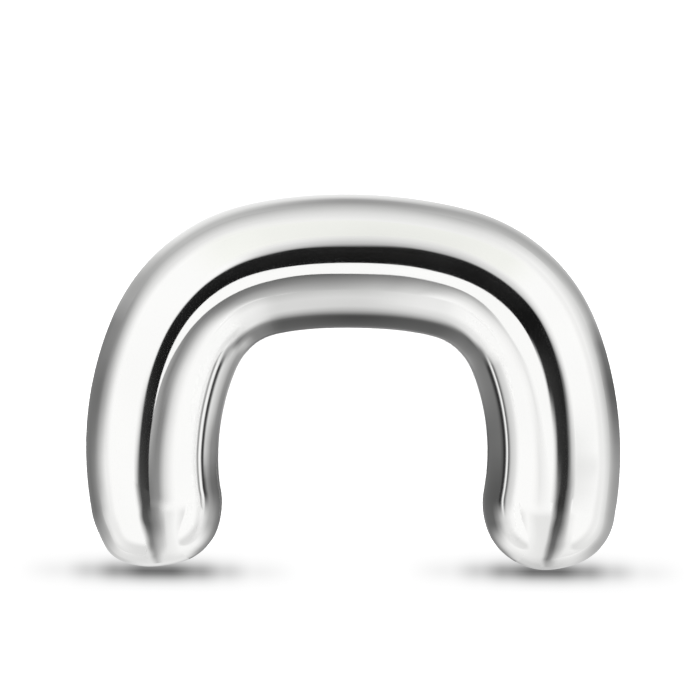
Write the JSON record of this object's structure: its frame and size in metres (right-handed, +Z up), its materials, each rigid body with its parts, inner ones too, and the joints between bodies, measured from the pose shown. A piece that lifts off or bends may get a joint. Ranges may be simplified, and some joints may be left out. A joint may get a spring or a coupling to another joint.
{
  "type": "septum retainer",
  "caption": "Horseshoe-shaped septum retainer bent from a thick round titanium bar, mirror polished, with domed ends.",
  "frame": {"origin": "on the surface that the retainer lies on, under the middle of its outline", "axes": "+X from the left leg to the right leg, +Y from the domed ends to the bridge, +Z up through the thickness of the bar"},
  "size_m": [0.016, 0.0112, 0.004],
  "materials": {
    "polished_titanium": "mirror-polished titanium"
  },
  "bodies": {
    "root": {"retainer_bar": "polished_titanium"}
  },
  "joints": []
}
